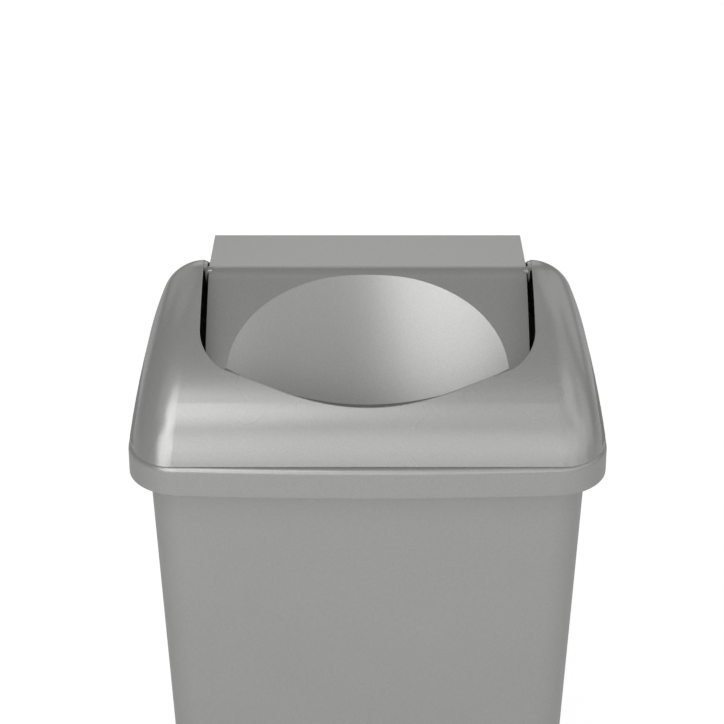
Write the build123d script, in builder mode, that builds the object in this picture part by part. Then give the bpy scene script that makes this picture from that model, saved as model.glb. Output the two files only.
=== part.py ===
from build123d import *
from math import asin, cos, degrees, hypot, radians, sin, sqrt, tan
import os

os.makedirs("parts", exist_ok=True)

# Can: a drafted tub with a deep overhanging rim. Floor at z 0, front at -Y.
RIM_HALF_X = 192.0
RIM_HALF_Y = 153.0
RIM_CORNER = 43.0
RIM_BAND = 26.0
RIM_WALL = 2.5
RIM_ROUND = 6.0
OVERHANG_X = 15.0
OVERHANG_Y = 19.0
CAN_TOP = 531.0
CAN_TOP_HALF_X = RIM_HALF_X - OVERHANG_X
CAN_TOP_HALF_Y = RIM_HALF_Y - OVERHANG_Y
CAN_TOP_CORNER = 26.0
CAN_DRAFT = 0.0396
CAN_BOTTOM_CORNER = 24.0
CAN_WALL = 2.5
CAN_FLOOR = 3.0
FOOT_RECESS = 2.5
FOOT_WIDTH = 12.0
FOOT_ROUND = 7.0
FRONT_BOW = 2730.0
FRONT_DRAW = 1.7
MIDDLE_DRAW = 2.6
REAR_DRAW = 10.9

# Pivot of the flap.
PIVOT_RISE = 96.0
PIVOT_Z = CAN_TOP + PIVOT_RISE
PIN_RADIUS = 4.0
PIN_FIT = 0.05

# Hood: a domed shell over the rim with a bowed front opening.
HOOD_WALL = 2.4
SEAM_GAP = 1.4
SEAM_INSET = 1.5
HOOD_BASE = CAN_TOP + SEAM_GAP
HOOD_CREST = 11.0
HOOD_CREST_SLOPE = 6.0
HOOD_CREST_ROUND = 42.0
HOOD_BROW_RADIUS = 200.0
HOOD_BROW_SLOPE = 47.0
HOOD_NOSE_RADIUS = 103.0
HOOD_NOSE_SLOPE = 72.6
HOOD_REAR_SLOPE = 28.5
HOOD_REAR_ROUND = 60.0
HOOD_REAR_FACE = 72.0
HOOD_REAR_SET = 3.4
HOOD_REAR_Y = RIM_HALF_Y - HOOD_REAR_SET
HOOD_SHOULDER = 34.0
SIDE_SET = 5.2
SIDE_BASE_X = RIM_HALF_X - SIDE_SET
SIDE_MID = (SIDE_BASE_X - 8.2, CAN_TOP + 44.0)
SIDE_TOP = (SIDE_BASE_X - 22.8, CAN_TOP + 87.0)
SIDE_STATIONS = (-220.0, -120.0, -50.0, 0.0, 50.0, 120.0, 220.0)
SIDE_EASE = 20.0
SIDE_DROP = 0.53
SIDE_WIDEN = 0.07

# Opening of the hood, in plan, cut straight down.
OPEN_SET = 54.0
OPEN_HALF_X = SIDE_BASE_X - OPEN_SET
OPEN_FRONT_Y = 126.6
OPEN_REAR_Y = 106.0
OPEN_SMILE_RADIUS = 255.0
OPEN_SMILE_HALF = 72.0
OPEN_CORNER = 31.0
OPEN_REAR_CORNER = 6.0
LIP_ROUND = 0.8

# Foot of the hood: a ring on the rim, a skirt inside the can mouth and two side flanges.
RING_THICK = 2.5
SKIRT_DEPTH = 12.0
SKIRT_FIT = 0.6
FLANGE_SET = 1.6
FLANGE_HALF_X = RIM_HALF_X - FLANGE_SET
FLANGE_HALF_Y = 117.0
FLANGE_THICK = 3.0
FLANGE_POINT = 8.0

# Lugs that hold the flap's pins.
LUG_THICK = 1.4
LUG_RADIUS = 9.0
LUG_TOP = 8.2
LUG_SET = 0.9
TAB_THICK = 3.0
TAB_OVERLAP = 2.6

# Flap, drawn closed and then tipped into the position it rests in.
FLAP_WALL = 2.2
FLAP_GAP = 4.0
FLAP_HALF_X = OPEN_HALF_X - FLAP_GAP
PIN_SHOULDER = 1.2
LUG_INNER_X = FLAP_HALF_X + PIN_SHOULDER
FLAP_FLARE = 1.4
FLAP_TIP = 15.3
FLAP_RIDGE = 4.4
FLAP_RIDGE_ROUND = 30.0
FLAP_FRONT_SLOPE = 11.8
FLAP_FRONT_RADIUS = 327.0
FLAP_FRONT_REACH = 135.0
FLAP_REAR_SLOPE = 28.5
FLAP_REAR_Y = 100.5
FLAP_SIDE_SKIRT = 12.0
FLAP_REAR_SKIRT = 13.5
FLAP_RIM_WIDTH = 10.8
FLAP_SKIRT_X = FLAP_HALF_X - FLAP_RIM_WIDTH
SWING_GAP = 3.5
ENVELOPE_STEPS = 12
ENVELOPE_END = (0.3, 1)
PIN_REACH = 3.4

# Scooped push area of the flap: a ring surface, cut off in front by a curved apron.
SCOOP_Y = -475.6
SCOOP_Z = 663.9
SCOOP_ALONG = 810.6
SCOOP_ACROSS = 367.0
APRON_Y = -99.0
APRON_Z = -53.9
APRON_SLOPE = 50.0
APRON_RADIUS = 871.0

# Length run past a shape before it is trimmed.
REACH = 60.0
HOOD_DEPTH = 220.0


def outline(half_x, half_y, corner):
    """Rounded rectangle with bowed sides that draw in a little towards the rear."""
    front_x = half_x - FRONT_DRAW
    middle_x = half_x - MIDDLE_DRAW
    rear_x = half_x - REAR_DRAW
    corner_y = half_y - half_x**2 / (2 * FRONT_BOW)
    with BuildSketch() as plan:
        with BuildLine():
            ThreePointArc((-front_x, -corner_y), (0, -half_y), (front_x, -corner_y))
            ThreePointArc((front_x, -corner_y), (middle_x, 0), (rear_x, corner_y))
            ThreePointArc((rear_x, corner_y), (0, half_y), (-rear_x, corner_y))
            ThreePointArc((-rear_x, corner_y), (-middle_x, 0), (-front_x, -corner_y))
        make_face()
        fillet(plan.vertices(), corner)
    return plan.sketch


def tub(height, inset):
    """Section of the can wall at a height, moved inwards."""
    drop = (CAN_TOP - height) * CAN_DRAFT
    corner = CAN_BOTTOM_CORNER + (CAN_TOP_CORNER - CAN_BOTTOM_CORNER) * height / CAN_TOP
    return outline(CAN_TOP_HALF_X - drop - inset, CAN_TOP_HALF_Y - drop - inset, corner - inset)


with BuildPart() as rim:
    with BuildSketch(Plane.XY.offset(CAN_TOP)):
        add(outline(RIM_HALF_X, RIM_HALF_Y, RIM_CORNER))
    extrude(amount=-RIM_BAND)
    fillet(faces().sort_by(Axis.Z)[-1].edges(), RIM_ROUND)
    with BuildSketch(Plane.XY.offset(CAN_TOP - RIM_BAND)):
        add(outline(RIM_HALF_X - RIM_WALL, RIM_HALF_Y - RIM_WALL, RIM_CORNER - RIM_WALL))
    extrude(amount=RIM_BAND - RIM_WALL, mode=Mode.SUBTRACT)
    with BuildSketch(Plane.XY.offset(CAN_TOP)):
        add(tub(CAN_TOP, CAN_WALL / 2))
    extrude(amount=-RIM_BAND, mode=Mode.SUBTRACT)

with BuildPart() as can_body:
    with BuildSketch(Plane.XY):
        add(tub(0, 0))
    with BuildSketch(Plane.XY.offset(CAN_TOP)):
        add(tub(CAN_TOP, 0))
    loft(ruled=True)
    fillet(faces().sort_by(Axis.Z)[0].edges(), FOOT_ROUND)
    with BuildSketch(Plane.XY):
        add(tub(0, FOOT_WIDTH))
    extrude(amount=FOOT_RECESS, mode=Mode.SUBTRACT)
    with BuildSketch(Plane.XY.offset(FOOT_RECESS + CAN_FLOOR)):
        add(tub(FOOT_RECESS + CAN_FLOOR, CAN_WALL))
    with BuildSketch(Plane.XY.offset(CAN_TOP + RIM_BAND)):
        add(tub(CAN_TOP + RIM_BAND, CAN_WALL))
    loft(ruled=True, mode=Mode.SUBTRACT)
    add(rim.part)
can_body.part.label = "can_body"


def turned(point, radius, start, end):
    """End of an arc that leaves a point towards -Y and steepens between two slopes."""
    reach = radius * (sin(radians(end)) - sin(radians(start)))
    fall = radius * (cos(radians(start)) - cos(radians(end)))
    return (point[0] - reach, point[1] - fall)


def hood_profile(inset):
    """Hood section seen from the side, moved inwards."""
    crest = (0, PIVOT_Z + HOOD_CREST)
    rise = tan(radians(HOOD_REAR_SLOPE))
    face = tan(radians(HOOD_REAR_FACE))
    bend_y = (crest[1] - HOOD_BASE - face * HOOD_REAR_Y) / (rise - face)
    bend = (bend_y, crest[1] - rise * bend_y)
    rear_foot = (HOOD_REAR_Y + REACH / face, HOOD_BASE - REACH)
    with BuildSketch() as section:
        with BuildLine():
            brow = turned(crest, HOOD_BROW_RADIUS, HOOD_CREST_SLOPE, HOOD_BROW_SLOPE)
            brow_mid = turned(
                crest, HOOD_BROW_RADIUS, HOOD_CREST_SLOPE, (HOOD_CREST_SLOPE + HOOD_BROW_SLOPE) / 2
            )
            nose = turned(brow, HOOD_NOSE_RADIUS, HOOD_BROW_SLOPE, HOOD_NOSE_SLOPE)
            nose_mid = turned(
                brow, HOOD_NOSE_RADIUS, HOOD_BROW_SLOPE, (HOOD_BROW_SLOPE + HOOD_NOSE_SLOPE) / 2
            )
            foot = (nose[0] - (nose[1] - rear_foot[1]) / tan(radians(HOOD_NOSE_SLOPE)), rear_foot[1])
            ThreePointArc(crest, brow_mid, brow)
            ThreePointArc(brow, nose_mid, nose)
            Line(nose, foot)
            Line(foot, rear_foot)
            FilletPolyline(rear_foot, bend, crest, radius=HOOD_REAR_ROUND)
        make_face()
        fillet(section.vertices().sort_by(Axis.Y)[-1], HOOD_CREST_ROUND)
        if inset:
            offset(amount=-inset, kind=Kind.INTERSECTION)
    return section.sketch


def side_profile(inset, drop, widen):
    """Hood section seen from the front: two tall arcs, moved inwards, down and apart."""
    with BuildLine(mode=Mode.PRIVATE):
        wall = ThreePointArc((SIDE_BASE_X, HOOD_BASE), SIDE_MID, SIDE_TOP)
    center = wall.arc_center
    with BuildSketch() as section:
        with Locations((center.X + widen, center.Y - drop)):
            Circle(wall.radius - inset)
        mirror(about=Plane.YZ, mode=Mode.INTERSECT)
    return section.sketch


def hood_sides(inset):
    """Room between the hood's sides, which lean in more and more towards the rear."""
    with BuildPart() as sides:
        for y in SIDE_STATIONS:
            behind = (y + sqrt(y**2 + SIDE_EASE**2)) / 2
            with BuildSketch(Plane.XZ.offset(-y)):
                add(side_profile(inset, SIDE_DROP * behind, SIDE_WIDEN * behind))
        loft()
    return sides.part


def hood_block(inset, base):
    """Solid hood shape down to a base height, without its opening."""
    with BuildPart() as block:
        with BuildSketch(Plane.YZ.offset(-HOOD_DEPTH)):
            add(hood_profile(inset))
        extrude(amount=2 * HOOD_DEPTH)
        add(hood_sides(inset), mode=Mode.INTERSECT)
        foot = HOOD_BASE - REACH
        shoulder = block.edges().filter_by(
            lambda edge: abs(edge.center().X) > SIDE_TOP[0] / 2 and edge.center().Z > foot + 1
        )
        fillet(shoulder, HOOD_SHOULDER - inset)
        split(bisect_by=Plane.XY.offset(base), keep=Keep.TOP)
    return block.part


# Plan of the opening: bowed centre, straight flanks, round corners.
SMILE_TURN = asin(OPEN_SMILE_HALF / OPEN_SMILE_RADIUS)
SMILE_END_Y = -OPEN_FRONT_Y + OPEN_SMILE_RADIUS * (1 - cos(SMILE_TURN))
CORNER_X = OPEN_HALF_X - OPEN_CORNER
CORNER_Y = SMILE_END_Y + (CORNER_X - OPEN_SMILE_HALF) * tan(SMILE_TURN) + OPEN_CORNER / cos(SMILE_TURN)


def opening():
    """Plan of the opening in the hood."""
    flank_y = SMILE_END_Y + (OPEN_HALF_X - OPEN_SMILE_HALF) * tan(SMILE_TURN)
    with BuildSketch() as plan:
        with BuildLine():
            ThreePointArc(
                (-OPEN_SMILE_HALF, SMILE_END_Y), (0, -OPEN_FRONT_Y), (OPEN_SMILE_HALF, SMILE_END_Y)
            )
            Polyline(
                (OPEN_SMILE_HALF, SMILE_END_Y),
                (OPEN_HALF_X, flank_y),
                (OPEN_HALF_X, OPEN_REAR_Y),
                (-OPEN_HALF_X, OPEN_REAR_Y),
                (-OPEN_HALF_X, flank_y),
                (-OPEN_SMILE_HALF, SMILE_END_Y),
            )
        make_face()
        fillet(plan.vertices().sort_by(Axis.Y)[-2:], OPEN_REAR_CORNER)
        fillet(plan.vertices().filter_by(lambda v: abs(v.Y - flank_y) < 1), OPEN_CORNER)
    return plan.sketch


def lip_y(x):
    """Front edge of the opening at a distance from the middle."""
    if x < OPEN_SMILE_HALF:
        return -OPEN_FRONT_Y + OPEN_SMILE_RADIUS - sqrt(OPEN_SMILE_RADIUS**2 - x**2)
    if x < CORNER_X + OPEN_CORNER * sin(SMILE_TURN):
        return SMILE_END_Y + (x - OPEN_SMILE_HALF) * tan(SMILE_TURN)
    return CORNER_Y - sqrt(OPEN_CORNER**2 - (x - CORNER_X) ** 2)


def hood_height(y):
    """Height of the hood's front surface above the pivot."""
    brow = turned((0, HOOD_CREST), HOOD_BROW_RADIUS, HOOD_CREST_SLOPE, HOOD_BROW_SLOPE)
    if y > brow[0]:
        center_y = HOOD_BROW_RADIUS * sin(radians(HOOD_CREST_SLOPE))
        center_z = HOOD_CREST - HOOD_BROW_RADIUS * cos(radians(HOOD_CREST_SLOPE))
        return center_z + sqrt(HOOD_BROW_RADIUS**2 - (y - center_y) ** 2)
    center_y = brow[0] + HOOD_NOSE_RADIUS * sin(radians(HOOD_BROW_SLOPE))
    center_z = brow[1] - HOOD_NOSE_RADIUS * cos(radians(HOOD_BROW_SLOPE))
    return center_z + sqrt(HOOD_NOSE_RADIUS**2 - (y - center_y) ** 2)


def hood_ring():
    """Flat foot of the hood, reaching in to the mouth of the can."""
    with BuildPart() as ring:
        add(hood_block(SEAM_INSET, CAN_TOP))
        split(bisect_by=Plane.XY.offset(CAN_TOP + RING_THICK), keep=Keep.BOTTOM)
        with BuildSketch(Plane.XY.offset(CAN_TOP)):
            add(tub(CAN_TOP - SKIRT_DEPTH, CAN_WALL + SKIRT_FIT + HOOD_WALL))
        extrude(amount=RING_THICK, mode=Mode.SUBTRACT)
    return ring.part


with BuildPart() as lid_hood:
    add(hood_block(0, HOOD_BASE))
    # Side flanges to lift the hood by, with pointed ends.
    with BuildSketch(Plane.XY.offset(HOOD_BASE)):
        add(outline(FLANGE_HALF_X, RIM_HALF_Y, RIM_CORNER))
        with BuildSketch(mode=Mode.PRIVATE) as ends:
            with BuildLine():
                Polyline(
                    (SIDE_BASE_X - HOOD_WALL, -FLANGE_HALF_Y - FLANGE_POINT),
                    (RIM_HALF_X, -FLANGE_HALF_Y),
                    (RIM_HALF_X, FLANGE_HALF_Y),
                    (SIDE_BASE_X - REAR_DRAW, FLANGE_HALF_Y + FLANGE_POINT),
                    close=True,
                )
            make_face()
            mirror(about=Plane.YZ)
        add(ends.sketch, mode=Mode.INTERSECT)
    extrude(amount=FLANGE_THICK)
    add(hood_block(HOOD_WALL, HOOD_BASE - RING_THICK), mode=Mode.SUBTRACT)
    with BuildSketch(Plane.XY.offset(PIVOT_Z - REACH)):
        add(opening())
    extrude(amount=2 * REACH, mode=Mode.SUBTRACT)
    lip = lid_hood.edges().filter_by(
        lambda edge: abs(edge.center().X) < OPEN_HALF_X + LIP_ROUND
        and abs(edge.center().Y) < OPEN_FRONT_Y + LIP_ROUND
        and edge.center().Z > PIVOT_Z - REACH
        and edge.length > 2 * HOOD_WALL
    )
    fillet(lip, LIP_ROUND)
    # Ring that sits on the rim, set back to leave a shadow line.
    add(hood_ring())
    with BuildSketch(Plane.XY.offset(CAN_TOP - SKIRT_DEPTH)):
        add(tub(CAN_TOP - SKIRT_DEPTH, CAN_WALL + SKIRT_FIT))
        add(tub(CAN_TOP - SKIRT_DEPTH, CAN_WALL + SKIRT_FIT + HOOD_WALL), mode=Mode.SUBTRACT)
    extrude(amount=SKIRT_DEPTH + RING_THICK)
    # Lugs hanging from the horns beside the flap, kept under the hood's outer surface.
    for side in (-1, 1):
        with BuildSketch(Plane.YZ.offset(side * LUG_INNER_X)):
            with Locations((0, PIVOT_Z)):
                Circle(LUG_RADIUS)
            with Locations((0, PIVOT_Z + LUG_TOP / 2)):
                Rectangle(2 * LUG_RADIUS, LUG_TOP)
            add(hood_profile(LUG_SET), mode=Mode.INTERSECT)
        extrude(amount=side * LUG_THICK)
        with BuildSketch(Plane.YZ.offset(side * LUG_INNER_X)):
            with Locations((0, PIVOT_Z + LUG_TOP - TAB_THICK / 2)):
                Rectangle(2 * LUG_RADIUS, TAB_THICK)
            add(hood_profile(LUG_SET), mode=Mode.INTERSECT)
        extrude(amount=side * (OPEN_HALF_X - LUG_INNER_X + TAB_OVERLAP))
        with BuildSketch(Plane.YZ.offset(side * LUG_INNER_X)):
            with Locations((0, PIVOT_Z)):
                Circle(PIN_RADIUS + PIN_FIT)
        extrude(amount=side * LUG_THICK, mode=Mode.SUBTRACT)
lid_hood.part.label = "lid_hood"


def flap_region(inset, rear_y):
    """Flap section seen from the side, closed, moved inwards; open-ended below."""
    ridge = (0, FLAP_RIDGE)
    end_slope = degrees(asin(sin(radians(FLAP_FRONT_SLOPE)) + FLAP_FRONT_REACH / FLAP_FRONT_RADIUS))
    front = turned(ridge, FLAP_FRONT_RADIUS, FLAP_FRONT_SLOPE, end_slope)
    front_mid = turned(ridge, FLAP_FRONT_RADIUS, FLAP_FRONT_SLOPE, (FLAP_FRONT_SLOPE + end_slope) / 2)
    slope = radians(FLAP_REAR_SLOPE)
    rear = (rear_y, FLAP_RIDGE - tan(slope) * rear_y)
    reach = REACH + 3 * inset
    heel = (rear[0] - reach * sin(slope), rear[1] - reach * cos(slope))
    floor = front[1] - reach
    with BuildSketch() as section:
        with BuildLine():
            ThreePointArc(ridge, front_mid, front)
            Polyline(front, (front[0], floor), (heel[0], floor), heel, rear, ridge)
        make_face()
        fillet(section.vertices().sort_by(Axis.Y)[-1], FLAP_RIDGE_ROUND)
        if inset:
            offset(amount=-inset, kind=Kind.INTERSECTION)
    return section.sketch.moved(Location((0, PIVOT_Z, 0)))


def flap_prism(inset, rear_y, half_x):
    """Flap section run across a width."""
    with BuildPart() as prism:
        with BuildSketch(Plane.YZ.offset(-half_x)):
            add(flap_region(inset, rear_y))
        extrude(amount=2 * half_x)
    return prism.part


def flap_block(inset):
    """Solid flap: scooped top, curved apron in front and flared sides."""
    half_x = FLAP_HALF_X - inset
    rear_x = half_x + FLAP_FLARE
    apron = radians(APRON_SLOPE)
    radius = APRON_RADIUS + inset
    with BuildPart() as block:
        add(flap_prism(inset, FLAP_REAR_Y, FLAP_HALF_X + FLAP_FLARE))
        with BuildSketch(Plane.XY.offset(PIVOT_Z - 2 * REACH - FLAP_FRONT_REACH)):
            Polygon(
                (half_x, 0),
                (rear_x, FLAP_REAR_Y),
                (-rear_x, FLAP_REAR_Y),
                (-half_x, 0),
                (-rear_x, -FLAP_FRONT_REACH),
                (rear_x, -FLAP_FRONT_REACH),
                align=None,
            )
        extrude(amount=4 * REACH + FLAP_FRONT_REACH, mode=Mode.INTERSECT)
        with Locations((0, SCOOP_Y, PIVOT_Z + SCOOP_Z)):
            Torus(
                SCOOP_ALONG - SCOOP_ACROSS,
                SCOOP_ACROSS + inset,
                rotation=(0, 90, 0),
                mode=Mode.SUBTRACT,
            )
        with Locations(
            (
                0,
                APRON_Y - APRON_RADIUS * sin(apron),
                PIVOT_Z + APRON_Z + APRON_RADIUS * cos(apron),
            )
        ):
            Cylinder(radius, APRON_RADIUS, rotation=(APRON_SLOPE - 90, 0, 0), mode=Mode.SUBTRACT)
    return block.part


def swing_envelope():
    """Room the flap may fill: a gap short of the lip all the way round its swing."""
    points = []
    for step in range(ENVELOPE_STEPS + 1):
        x = (FLAP_HALF_X + FLAP_FLARE) * step / ENVELOPE_STEPS
        points.append((x, hypot(lip_y(x), hood_height(lip_y(x))) - SWING_GAP))
    with BuildPart() as room:
        with BuildSketch(Plane.XY.offset(PIVOT_Z)):
            with BuildLine():
                Spline(*[(x, -radius) for x, radius in points], tangents=[(1, 0), ENVELOPE_END])
                Polyline(
                    (points[-1][0], -points[-1][1]), (points[-1][0], 0), (0, 0), (0, -points[0][1])
                )
            make_face()
            mirror(about=Plane.YZ)
        revolve(axis=Axis((0, 0, PIVOT_Z), (1, 0, 0)), revolution_arc=360)
        with Locations((0, 0, PIVOT_Z)):
            Box(
                4 * OPEN_HALF_X,
                2 * OPEN_FRONT_Y,
                2 * OPEN_FRONT_Y,
                align=(Align.CENTER, Align.MIN, Align.CENTER),
            )
    return room.part


# What is cut away below the skirts: shallow ones along the sides, and one across the rear
# as deep as it takes to balance the flap about its pins.
with BuildPart() as below_sides:
    add(flap_prism(FLAP_SIDE_SKIRT, FLAP_REAR_Y + REACH, FLAP_HALF_X + REACH))
    Box(2 * FLAP_SKIRT_X, 2 * HOOD_DEPTH, 2 * CAN_TOP + 2 * HOOD_DEPTH, mode=Mode.SUBTRACT)

with BuildPart() as below_rear:
    add(flap_prism(FLAP_REAR_SKIRT, FLAP_REAR_Y + REACH, FLAP_HALF_X + REACH))
    Box(
        2 * HOOD_DEPTH,
        2 * HOOD_DEPTH,
        2 * CAN_TOP + 2 * HOOD_DEPTH,
        align=(Align.CENTER, Align.MAX, Align.CENTER),
        mode=Mode.SUBTRACT,
    )

with BuildPart() as closed_flap:
    add(flap_block(0))
    add(flap_block(FLAP_WALL), mode=Mode.SUBTRACT)
    add(swing_envelope(), mode=Mode.INTERSECT)
    add(below_sides.part, mode=Mode.SUBTRACT)
    add(below_rear.part, mode=Mode.SUBTRACT)
    for side in (-1, 1):
        with Locations((side * (FLAP_HALF_X + (PIN_REACH - FLAP_WALL) / 2), 0, PIVOT_Z)):
            Cylinder(PIN_RADIUS, PIN_REACH + FLAP_WALL, rotation=(0, 90, 0))

with BuildPart() as swing_flap:
    add(closed_flap.part.rotate(Axis((0, 0, PIVOT_Z), (1, 0, 0)), FLAP_TIP))
swing_flap.part.label = "swing_flap"

export_step(can_body.part, "parts/can_body.step")
export_step(lid_hood.part, "parts/lid_hood.step")
export_step(swing_flap.part, "parts/swing_flap.step")
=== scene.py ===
import bpy
import math
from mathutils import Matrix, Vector

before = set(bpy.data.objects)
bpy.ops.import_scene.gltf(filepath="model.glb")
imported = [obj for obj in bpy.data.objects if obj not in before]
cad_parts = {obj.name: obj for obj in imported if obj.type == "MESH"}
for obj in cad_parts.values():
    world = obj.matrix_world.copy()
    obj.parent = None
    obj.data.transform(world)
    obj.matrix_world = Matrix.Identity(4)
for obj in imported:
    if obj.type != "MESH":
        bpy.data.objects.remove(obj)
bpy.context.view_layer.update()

# CAN BODY
# One injection-moulded tub with drafted walls and a deep overhanging rim, in silver-grey
# polypropylene with a fine metallic fleck. It stands on a narrow foot ring, open at the top.
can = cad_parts["can_body"]
silver = (0.42, 0.42, 0.41, 1.0)
metal_share = 0.5
fleck_strength = 0.16

# The moulded surface that all three pieces share: a metallic fleck in the plastic and a slow
# cloudiness, in tone and in gloss, from the flow of the melt.
moulded = bpy.data.node_groups.new("moulded_silver", "ShaderNodeTree")
for socket_name, socket_kind, socket_value in (
    ("Silver", "NodeSocketColor", (0.3, 0.3, 0.3, 1.0)),
    ("Fleck", "NodeSocketFloat", 0.1),
    ("Cloud", "NodeSocketFloat", 0.05),
    ("Roughness", "NodeSocketFloat", 0.4),
):
    made = moulded.interface.new_socket(socket_name, in_out="INPUT", socket_type=socket_kind)
    made.default_value = socket_value
for socket_name, socket_kind in (
    ("Color", "NodeSocketColor"),
    ("Roughness", "NodeSocketFloat"),
):
    moulded.interface.new_socket(socket_name, in_out="OUTPUT", socket_type=socket_kind)
m_nodes = moulded.nodes
m_links = moulded.links
m_in = m_nodes.new("NodeGroupInput")
m_out = m_nodes.new("NodeGroupOutput")
m_place = m_nodes.new("ShaderNodeTexCoord")

# Metallic flecks under half a millimetre across, each a little lighter or darker.
flecks_per_metre = 2200.0
fleck = m_nodes.new("ShaderNodeTexVoronoi")
fleck.inputs["Scale"].default_value = flecks_per_metre
m_links.new(m_place.outputs["Object"], fleck.inputs["Vector"])
fleck_grey = m_nodes.new("ShaderNodeSeparateColor")
m_links.new(fleck.outputs["Color"], fleck_grey.inputs["Color"])
fleck_shift = m_nodes.new("ShaderNodeMath")
fleck_shift.operation = "SUBTRACT"
fleck_shift.inputs[1].default_value = 0.5
m_links.new(fleck_grey.outputs["Red"], fleck_shift.inputs[0])
fleck_gain = m_nodes.new("ShaderNodeMath")
fleck_gain.operation = "MULTIPLY"
m_links.new(fleck_shift.outputs[0], fleck_gain.inputs[0])
m_links.new(m_in.outputs["Fleck"], fleck_gain.inputs[1])

# Cloudiness a hand's width across.
clouds_per_metre = 9.0
cloud_detail = 3.0
cloud = m_nodes.new("ShaderNodeTexNoise")
cloud.inputs["Scale"].default_value = clouds_per_metre
cloud.inputs["Detail"].default_value = cloud_detail
m_links.new(m_place.outputs["Object"], cloud.inputs["Vector"])
cloud_shift = m_nodes.new("ShaderNodeMath")
cloud_shift.operation = "SUBTRACT"
cloud_shift.inputs[1].default_value = 0.5
m_links.new(cloud.outputs["Fac"], cloud_shift.inputs[0])
cloud_gain = m_nodes.new("ShaderNodeMath")
cloud_gain.operation = "MULTIPLY"
m_links.new(cloud_shift.outputs[0], cloud_gain.inputs[0])
m_links.new(m_in.outputs["Cloud"], cloud_gain.inputs[1])

tone = m_nodes.new("ShaderNodeMath")
tone.operation = "ADD"
m_links.new(fleck_gain.outputs[0], tone.inputs[0])
m_links.new(cloud_gain.outputs[0], tone.inputs[1])
tone_up = m_nodes.new("ShaderNodeMath")
tone_up.operation = "ADD"
tone_up.inputs[1].default_value = 1.0
m_links.new(tone.outputs[0], tone_up.inputs[0])
tinted = m_nodes.new("ShaderNodeVectorMath")
tinted.operation = "SCALE"
m_links.new(m_in.outputs["Silver"], tinted.inputs[0])
m_links.new(tone_up.outputs[0], tinted.inputs["Scale"])
m_links.new(tinted.outputs[0], m_out.inputs["Color"])

rough_add = m_nodes.new("ShaderNodeMath")
rough_add.operation = "ADD"
m_links.new(m_in.outputs["Roughness"], rough_add.inputs[0])
m_links.new(cloud_gain.outputs[0], rough_add.inputs[1])
m_links.new(rough_add.outputs[0], m_out.inputs["Roughness"])


def moulded_material(name, cloudiness, roughness):
    """Metallic-flecked plastic with its own cloudiness and gloss."""
    material = bpy.data.materials.new(name)
    material.use_nodes = True
    nodes = material.node_tree.nodes
    links = material.node_tree.links
    shader = nodes["Principled BSDF"]
    shader.inputs["Metallic"].default_value = metal_share
    surface = nodes.new("ShaderNodeGroup")
    surface.node_tree = moulded
    surface.inputs["Silver"].default_value = silver
    surface.inputs["Fleck"].default_value = fleck_strength
    surface.inputs["Cloud"].default_value = cloudiness
    surface.inputs["Roughness"].default_value = roughness
    links.new(surface.outputs["Color"], shader.inputs["Base Color"])
    links.new(surface.outputs["Roughness"], shader.inputs["Roughness"])
    return material


can_material = moulded_material("can_silver_plastic", 0.08, 0.3)
for can_slot in can.material_slots:
    can_slot.material = can_material

# LID HOOD
# One moulded dome of the same plastic. It sits on the rim, lifts off by its side flanges, and
# carries the flap in a thin lug below each horn. Its skin is a little smoother than the can's.
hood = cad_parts["lid_hood"]
hood_material = moulded_material("hood_silver_plastic", 0.06, 0.27)
for hood_slot in hood.material_slots:
    hood_slot.material = hood_material

# SWING FLAP
# One moulded flap of the same plastic with a scooped push area, skirts along three edges and a
# short pin on each side that turns in the hood's lugs.
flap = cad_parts["swing_flap"]
flap_material = moulded_material("flap_silver_plastic", 0.05, 0.26)
for flap_slot in flap.material_slots:
    flap_slot.material = flap_material

# FLOOR
# A plain white studio floor, which is not part of the bin. The camera sees half of its lit
# surface and half a plain white, so that it stays white and still takes the bin's soft shadow.
floor_width = 16.0
floor_grey = (0.85, 0.85, 0.85, 1.0)
plain_white = (1.0, 1.0, 1.0, 1.0)
white_strength = 1.62
white_share = 0.5
bpy.ops.object.select_all(action="DESELECT")
bpy.ops.mesh.primitive_plane_add(size=floor_width, location=(0.0, 0.0, 0.0))
floor = bpy.context.object
floor.name = "studio_floor"
floor_material = bpy.data.materials.new("white_floor")
floor_material.use_nodes = True
floor_nodes = floor_material.node_tree.nodes
floor_links = floor_material.node_tree.links
floor_shader = floor_nodes["Principled BSDF"]
floor_shader.inputs["Base Color"].default_value = floor_grey
floor_shader.inputs["Roughness"].default_value = 0.9
floor_glow = floor_nodes.new("ShaderNodeEmission")
floor_glow.inputs["Color"].default_value = plain_white
floor_glow.inputs["Strength"].default_value = white_strength
floor_path = floor_nodes.new("ShaderNodeLightPath")
floor_share = floor_nodes.new("ShaderNodeMath")
floor_share.operation = "MULTIPLY"
floor_share.inputs[1].default_value = white_share
floor_links.new(floor_path.outputs["Is Camera Ray"], floor_share.inputs[0])
floor_mix = floor_nodes.new("ShaderNodeMixShader")
floor_links.new(floor_share.outputs[0], floor_mix.inputs["Fac"])
floor_links.new(floor_shader.outputs["BSDF"], floor_mix.inputs[1])
floor_links.new(floor_glow.outputs["Emission"], floor_mix.inputs[2])
floor_links.new(floor_mix.outputs["Shader"], floor_nodes["Material Output"].inputs["Surface"])
floor.data.materials.append(floor_material)

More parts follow.
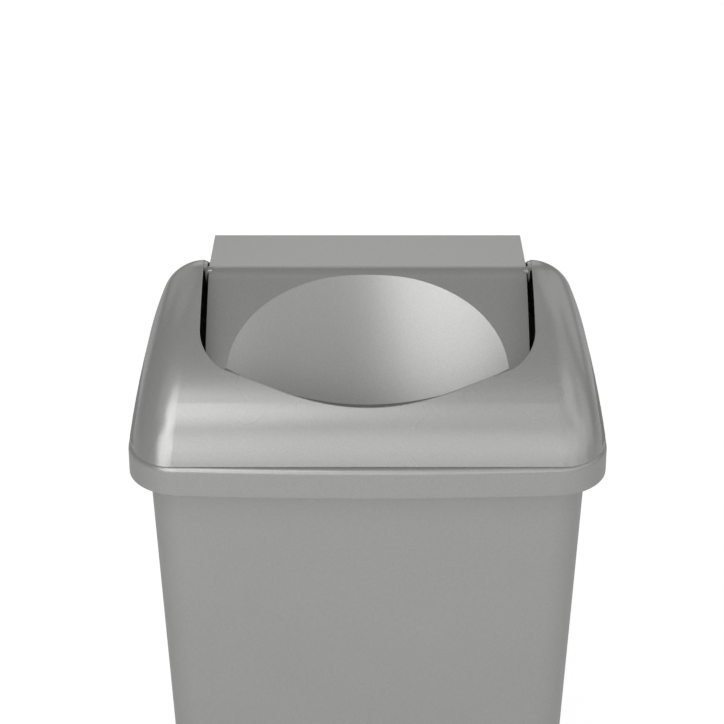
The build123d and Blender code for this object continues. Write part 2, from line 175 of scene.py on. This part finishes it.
# STUDIO LIGHT
# Dim grey surroundings, white to the camera, and round soft lights 3 m from the bin, most of
# them on a low and a high ring. The brightest stand at the front left, and the left side is
# kept dark.
dim_grey = (0.25, 0.25, 0.25, 1.0)
world = bpy.data.worlds.new("studio")
bpy.context.scene.world = world
world.use_nodes = True
w_nodes = world.node_tree.nodes
w_links = world.node_tree.links
w_back = w_nodes["Background"]
w_path = w_nodes.new("ShaderNodeLightPath")
w_mix = w_nodes.new("ShaderNodeMix")
w_mix.data_type = "RGBA"
w_links.new(w_path.outputs["Is Camera Ray"], w_mix.inputs["Factor"])
w_mix.inputs["A"].default_value = dim_grey
w_mix.inputs["B"].default_value = plain_white
w_links.new(w_mix.outputs["Result"], w_back.inputs["Color"])

light_target = Vector((0.0, 0.0, 0.45))
light_distance = 3.0
# Name, turn from the front and height above the horizon in degrees, width in metres, radiance.
for lamp_name, lamp_turn, lamp_height, lamp_size, lamp_glow in (
    ("key_upper", -24.0, 46.0, 1.6, 2.5),
    ("key_lower", -28.0, 16.0, 1.9, 2.2),
    ("front_lower", 0.0, 16.0, 1.75, 0.9),
    ("front_upper", 20.0, 45.0, 1.6, 0.41),
    ("right_front_lower", 30.0, 16.0, 1.75, 0.8),
    ("right_front_upper", 60.0, 45.0, 1.6, 0.67),
    ("right_lower", 60.0, 16.0, 1.75, 0.64),
    ("right_side_lower", 90.0, 16.0, 1.75, 0.44),
    ("right_side_upper", 100.0, 45.0, 1.6, 0.23),
    ("left_front_upper", -60.0, 45.0, 1.6, 0.3),
    ("rear_right_lower", 135.0, 16.0, 1.75, 0.4),
    ("rear_right_upper", 140.0, 45.0, 1.6, 0.42),
    ("rear_lower", 180.0, 16.0, 1.75, 0.54),
    ("rear_left_lower", -150.0, 16.0, 1.75, 0.27),
    ("rear_left_upper", -140.0, 45.0, 1.6, 0.21),
    ("rear_high", 180.0, 72.0, 1.3, 0.12),
):
    turn = math.radians(lamp_turn)
    height = math.radians(lamp_height)
    outward = Vector(
        (math.sin(turn) * math.cos(height), -math.cos(turn) * math.cos(height), math.sin(height))
    )
    bpy.ops.object.light_add(type="AREA", location=light_target + outward * light_distance)
    lamp = bpy.context.object
    lamp.name = lamp_name
    lamp.data.shape = "DISK"
    lamp.data.size = lamp_size
    lamp.data.energy = lamp_glow * math.pi**2 * (lamp_size / 2) ** 2
    lamp.rotation_euler = (-outward).to_track_quat("-Z", "Y").to_euler()
    lamp.visible_camera = False

# CAMERA
# Looks down on the hood from the front at thirty degrees, 2.2 m from the underside of the rim.
rim_under = 0.505
camera_pitch = math.radians(30.0)
camera_distance = 2.2
sensor_width = 36.0
image_width = 724.0
image_middle = image_width / 2
focal_pixels = 2629.0
axis_column = 367.6
axis_row = 401.2
bpy.ops.object.camera_add(
    location=(
        0.0,
        -camera_distance * math.cos(camera_pitch),
        rim_under + camera_distance * math.sin(camera_pitch),
    ),
    rotation=(math.pi / 2 - camera_pitch, 0.0, 0.0),
)
camera = bpy.context.object
camera.data.sensor_width = sensor_width
camera.data.lens = sensor_width * focal_pixels / image_width
camera.data.shift_x = (image_middle - axis_column) / image_width
camera.data.shift_y = (axis_row - image_middle) / image_width
camera.data.clip_end = 50.0
bpy.context.scene.camera = camera
bpy.context.scene.view_settings.view_transform = "Standard"
